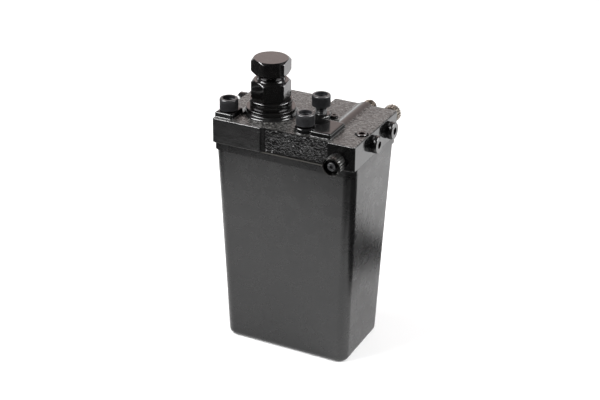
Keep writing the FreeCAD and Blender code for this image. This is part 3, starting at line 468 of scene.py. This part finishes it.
def cast_relief(point, facing):
    """Height of the casting's skin, in millimetres, at a point with the given outward direction."""
    warp = noise.noise_vector(point * WARP_RATE) * WARP_REACH
    worm = 1 - min(1.0, abs(noise.noise(point * WORM_RATE + warp)) * WORM_NARROWNESS)
    pebble = noise.noise(point * PEBBLE_RATE)
    swell = noise.noise(point * SWELL_RATE)
    on_face = share(-facing.y, 0.55, 0.85) * share(point.x, ROUGH_FACE[0], ROUGH_FACE[0] + 1.4)
    on_face *= share(ROUGH_FACE[1] - point.x, 0.0, 0.8) * share(-point.y, -FACE_FRONT, -FACE_FRONT + 0.7)
    on_face *= share(point.z, FACE_FOOT, FACE_FOOT + 1.2) * share(DECK - 0.2 - point.z, 0.0, 0.8)
    on_deck = share(facing.z, 0.6, 0.9) * share(DECK + 0.9 - point.z, 0.0, 0.5)
    on_back = share(facing.y, 0.6, 0.9) * share(point.y, BLOCK_BACK, BLOCK_BACK + 1.0)
    height = on_face * (FACE_WORM * worm ** 1.2 + FACE_PEBBLE * pebble)
    height += on_deck * (DECK_PEBBLE * pebble + DECK_SWELL * swell)
    height += on_back * (BACK_WORM * worm + BACK_PEBBLE * pebble)
    return height + SWELL * swell


def on_rough_face(face):
    """Whether a face of the mesh lies on the rough part of the front."""
    middle = face.calc_center_median()
    in_front = face.normal.y < -0.5 and middle.y < (FACE_FRONT - 0.1) * MM
    return in_front and ROUGH_FACE[0] * MM < middle.x < ROUGH_FACE[1] * MM


def refine_front(mesh):
    """Splits the faces of the rough front so that they can carry a finer relief."""
    bm = bmesh.new()
    bm.from_mesh(mesh)
    edges = [edge for edge in bm.edges if any(on_rough_face(face) for face in edge.link_faces)]
    bmesh.ops.subdivide_edges(bm, edges=edges, cuts=1, use_grid_fill=True)
    bm.to_mesh(mesh)
    bm.free()


def cast_block():
    """The block as a casting: rounded edges, worm-like skin on the front, pebbled deck."""
    mesh = nodes["valve_block"].data.copy()
    bm = bmesh.new()
    bm.from_mesh(mesh)
    bmesh.ops.remove_doubles(bm, verts=bm.verts, dist=WELD * MM)
    bm.to_mesh(mesh)
    bm.free()
    draft = bpy.data.objects.new("draft_block", mesh)
    bpy.context.scene.collection.objects.link(draft)
    remesh = draft.modifiers.new("voxels", "REMESH")
    remesh.mode = "VOXEL"
    remesh.voxel_size = VOXEL * MM
    smoother = draft.modifiers.new("smooth", "SMOOTH")
    smoother.factor = 0.5
    smoother.iterations = 2
    evaluated = draft.evaluated_get(bpy.context.evaluated_depsgraph_get())
    cast = bpy.data.meshes.new_from_object(evaluated)
    bpy.data.objects.remove(draft)
    refine_front(cast)
    count = len(cast.vertices)
    places = np.zeros(count * 3, np.float32)
    facings = np.zeros(count * 3, np.float32)
    cast.vertices.foreach_get("co", places)
    cast.vertex_normals.foreach_get("vector", facings)
    places = places.reshape(-1, 3).astype(float)
    facings = facings.reshape(-1, 3)
    for index in range(count):
        facing = Vector(facings[index])
        height = cast_relief(Vector(places[index]) / MM, facing)
        places[index] += np.array(facing) * height * MM
    cast.vertices.foreach_set("co", places.astype(np.float32).ravel())
    cast.update()
    shade(cast, 60.0)
    add_piece("cast_valve_block", cast, "pump_body", "cast_black", ["valve_block"])


# ---------------------------------------------------------------- screws

# The M10 bracket screws, and the middle of each one's seat, from part.py.
BRACKET_SCREWS = ((-57.0, -32.3, 220.3), (15.0, -32.3, 221.0), (15.0, -2.0, 226.5))
SHANK_RADIUS = 5.0
SHANK_LENGTH = 16.0
PITCH = 1.5
HEAD_RADIUS = 8.0
HEAD_HEIGHT = 10.0
SOCKET = 8.0                         # across the flats
SOCKET_FLOOR = HEAD_HEIGHT * 0.45
MOUTH_RADIUS = HEAD_RADIUS * 0.69
KNURL_DEPTH = HEAD_RADIUS * 0.035
KNURL_RIDGES = 60
SCREW_COLUMNS = 480


def cap_screw(name, seat):
    """Socket-head screw with a knurled head and a threaded shank. Heights are above its seat."""
    side, top = HEAD_RADIUS, HEAD_HEIGHT
    grip = knurl(side, KNURL_DEPTH, KNURL_RIDGES, SCREW_COLUMNS)
    hexagon = hex_radius(SOCKET, SCREW_COLUMNS)
    tip = [(0.0, -SHANK_LENGTH), (SHANK_RADIUS - PITCH * 0.7, -SHANK_LENGTH),
           (SHANK_RADIUS - PITCH * 0.55, -SHANK_LENGTH + 0.3)]
    thread = thread_rows(SHANK_RADIUS, PITCH, -SHANK_LENGTH + 0.6, -0.3, SCREW_COLUMNS)
    neck = [(SHANK_RADIUS - 0.1, -0.02), (SHANK_RADIUS + 0.2, 0.0)]
    foot = [(side - 0.55, 0.0), (side - 0.25, 0.06), (side - 0.08, 0.22), (side - 0.03, 0.45)]
    knurled = [(grip, top * 0.08 + 0.3), (grip, top * 0.5), (grip, top * 0.86)]
    crown = [(side - 0.05, top - 0.95), (side - 0.14, top - 0.62), (side - 0.4, top - 0.26),
             (side - 0.75, top - 0.06), (side - 1.0, top)]
    counterbore = [(MOUTH_RADIUS + 0.2, top), (MOUTH_RADIUS + 0.06, top - 0.05),
                   (MOUTH_RADIUS, top - 0.18), (MOUTH_RADIUS - 0.05, top - 2.6)]
    socket = [(hexagon, top - 2.9), (hexagon, SOCKET_FLOOR + 0.2), (hexagon - 0.15, SOCKET_FLOOR),
              (SOCKET * 0.22, SOCKET_FLOOR - SOCKET * 0.1), (0.0, SOCKET_FLOOR - SOCKET * 0.16)]
    rows = tip + thread + neck + foot + knurled + crown + counterbore + socket
    return turned_mesh(name, rows, SCREW_COLUMNS, seat)


def joined(name, meshes):
    """One mesh from several."""
    bm = bmesh.new()
    for mesh in meshes:
        bm.from_mesh(mesh)
    whole = bpy.data.meshes.new(name)
    bm.to_mesh(whole)
    bm.free()
    for mesh in meshes:
        bpy.data.meshes.remove(mesh)
    shade(whole)
    return whole


def bracket_screws():
    """The three bracket screws as one piece."""
    meshes = [cap_screw("bracket_screw_%d" % index, seat) for index, seat in enumerate(BRACKET_SCREWS)]
    add_piece("knurled_bracket_screws", joined("knurled_bracket_screws", meshes), "pump_body",
              "phosphate_steel", ["bracket_screws"])


def check_springs():
    """Copies of the valve springs, one for each deforming node in the record's joints, each riding on its
    joint's parent body; in the pump they shorten as their balls lift.
    """
    for joint in frame["record"]["behaviour"]["joints"]:
        for moved in joint.get("deforming_nodes", ()):
            name = moved["node"]
            copied = nodes[name].data.copy()
            coil = add_piece(name + "_coil", copied, joint["parent"], "spring_steel", [name])
            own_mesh(coil)


cast_block()
bracket_screws()
check_springs()
soften(0.22, "pump_shaft", "gland_nut", "gland_seal_washer", "gland_spacer_ring", "gallery_plugs",
       "filler_plug")
soften(0.12, "bleed_plug", "relief_set_screw", "lift_port_fitting", "return_port_fitting",
       "selector_knob", "knob_washer", "knob_screw", "selector_cartridge", "shaft_wiper")


# ---------------------------------------------------------------- floor, light and camera

CAMERA_AZIMUTH = math.radians(25.67)
CAMERA_ELEVATION = math.radians(26.99)
CAMERA_ROLL = math.radians(0.954)
CAMERA_DISTANCE = 1.3344
CAMERA_TARGET = Vector((0, 0, 0.117))
CAMERA_LENS = 90.8
CAMERA_SHIFT = (-0.0072, 0.0266)

FLOOR = (-4.0, 4.0, -4.0, 4.0)
FLOOR_GLOW = 0.2
# Black cards just above the paper, seen only in reflections, as round a real light table.
FLAG_HEIGHT = 0.002
FLAGS = {
    "front_flag": (-3.0, 3.0, -3.0, -0.26),
    "left_flag": (-3.0, -0.34, -0.26, 2.0),
    "right_flag": (0.15, 3.0, -0.26, 0.12),
}
# Azimuth, elevation, distance, size, watts and colour.
SOFTBOXES = {
    "left_softbox": (-55, 47, 1.3, (0.9, 0.55), 26, (1.0, 1.0, 1.0)),
    "right_softbox": (112, 42, 1.3, (0.9, 0.5), 19, (1.0, 1.0, 1.0)),
    "rear_softbox": (203, 30, 1.7, (1.6, 0.7), 3.4, (1.0, 0.82, 0.78)),
}
ROOM_LEVEL = 0.1
WALL_LEVEL = 1.35
WALL_TOP = (0.22, 0.31)       # the wall fades out as a direction's height goes from one to the other


def plane(name, x0, x1, y0, y1, z, material):
    """A flat stage card, in metres."""
    mesh = bpy.data.meshes.new(name)
    mesh.from_pydata([(x0, y0, z), (x1, y0, z), (x1, y1, z), (x0, y1, z)], [], [(0, 1, 2, 3)])
    mesh.materials.append(material)
    item = bpy.data.objects.new(name, mesh)
    bpy.context.scene.collection.objects.link(item)
    return item


def floor_paper():
    """White paper that glows a little, as on a light table."""
    f = Finish("floor_paper")
    fibres = f.grain(40.0, 3.0)
    colour = f.blend(fibres, (0.83, 0.83, 0.835), (0.87, 0.87, 0.87))
    f.shader.inputs["Emission Color"].default_value = (1.0, 1.0, 1.0, 1.0)
    f.shader.inputs["Emission Strength"].default_value = FLOOR_GLOW
    return f.done(colour, f.remap(fibres, 0, 1, 0.85, 0.95), ior=1.2)


def black_card():
    """Matt black card."""
    f = Finish("black_card")
    weave = f.grain(5.0)
    colour = f.blend(weave, (0.004, 0.004, 0.004), (0.008, 0.008, 0.008))
    return f.done(colour, f.remap(weave, 0, 1, 0.9, 1.0))


def towards(azimuth, elevation):
    """Unit vector; azimuth 0 points to the front and grows towards the right."""
    a, e = math.radians(azimuth), math.radians(elevation)
    return Vector((math.sin(a) * math.cos(e), -math.cos(a) * math.cos(e), math.sin(e)))


def camera():
    """The photograph's viewpoint, with its slight roll."""
    back = towards(math.degrees(CAMERA_AZIMUTH), math.degrees(CAMERA_ELEVATION))
    level = Vector((math.cos(CAMERA_AZIMUTH), math.sin(CAMERA_AZIMUTH), 0))
    upright = back.cross(level)
    across = level * math.cos(CAMERA_ROLL) + upright * math.sin(CAMERA_ROLL)
    above = upright * math.cos(CAMERA_ROLL) - level * math.sin(CAMERA_ROLL)
    data = bpy.data.cameras.new("camera")
    data.lens = CAMERA_LENS
    data.sensor_width = 36.0
    data.shift_x, data.shift_y = CAMERA_SHIFT
    data.clip_start = 0.05
    data.clip_end = 50.0
    item = bpy.data.objects.new("camera", data)
    bpy.context.scene.collection.objects.link(item)
    turn = Matrix((across, above, back)).transposed().to_4x4()
    item.matrix_world = Matrix.Translation(CAMERA_TARGET + back * CAMERA_DISTANCE) @ turn
    bpy.context.scene.camera = item


def softbox(name, azimuth, elevation, distance, size, power, colour):
    """An area light that faces the pump and isn't seen by the camera."""
    data = bpy.data.lights.new(name, "AREA")
    data.shape = "RECTANGLE"
    data.size, data.size_y = size
    data.energy = power
    data.color = colour
    item = bpy.data.objects.new(name, data)
    bpy.context.scene.collection.objects.link(item)
    out = towards(azimuth, elevation)
    item.location = CAMERA_TARGET + out * distance
    item.rotation_mode = "QUATERNION"
    item.rotation_quaternion = (-out).to_track_quat("-Z", "Y")
    item.visible_camera = False


def sky_level(tree):
    """White to the camera; elsewhere a dark room with a low pale wall behind the pump."""
    def remap(source, low, high, to_low, to_high):
        node = tree.nodes.new("ShaderNodeMapRange")
        for slot, value in enumerate((low, high, to_low, to_high), 1):
            node.inputs[slot].default_value = value
        tree.links.new(source, node.inputs[0])
        return node.outputs[0]

    def multiply_add(first, second, third):
        node = tree.nodes.new("ShaderNodeMath")
        node.operation = "MULTIPLY_ADD"
        for slot, value in enumerate((first, second, third)):
            if isinstance(value, bpy.types.NodeSocket):
                tree.links.new(value, node.inputs[slot])
            else:
                node.inputs[slot].default_value = value
        return node.outputs[0]

    direction = tree.nodes.new("ShaderNodeSeparateXYZ")
    tree.links.new(tree.nodes.new("ShaderNodeTexCoord").outputs["Generated"], direction.inputs[0])
    low_band = remap(direction.outputs["Z"], *WALL_TOP, 1.0, 0.0)
    behind = remap(direction.outputs["Y"], 0.1, 0.5, 0.0, 1.0)
    room = multiply_add(multiply_add(low_band, behind, 0.0), WALL_LEVEL, ROOM_LEVEL)
    seen = tree.nodes.new("ShaderNodeLightPath").outputs["Is Camera Ray"]
    dark = remap(seen, 0.0, 1.0, 1.0, 0.0)
    return multiply_add(room, dark, seen)


def studio():
    """Floor, world, lights and cards."""
    plane("floor", *FLOOR, 0.0, floor_paper())
    world = bpy.data.worlds.new("studio")
    bpy.context.scene.world = world
    world.use_nodes = True
    tree = world.node_tree
    background = tree.nodes["Background"]
    background.inputs["Color"].default_value = (1.0, 1.0, 1.0, 1.0)
    tree.links.new(sky_level(tree), background.inputs["Strength"])
    for name, settings in SOFTBOXES.items():
        softbox(name, *settings)
    card = black_card()
    for name, outline in FLAGS.items():
        flag = plane(name, *outline, FLAG_HEIGHT, card)
        flag.rotation_euler.z = CAMERA_AZIMUTH
        for ray in ("camera", "diffuse", "transmission", "volume_scatter", "shadow"):
            setattr(flag, "visible_" + ray, False)


studio()
camera()
bpy.context.scene.view_settings.view_transform = "Standard"
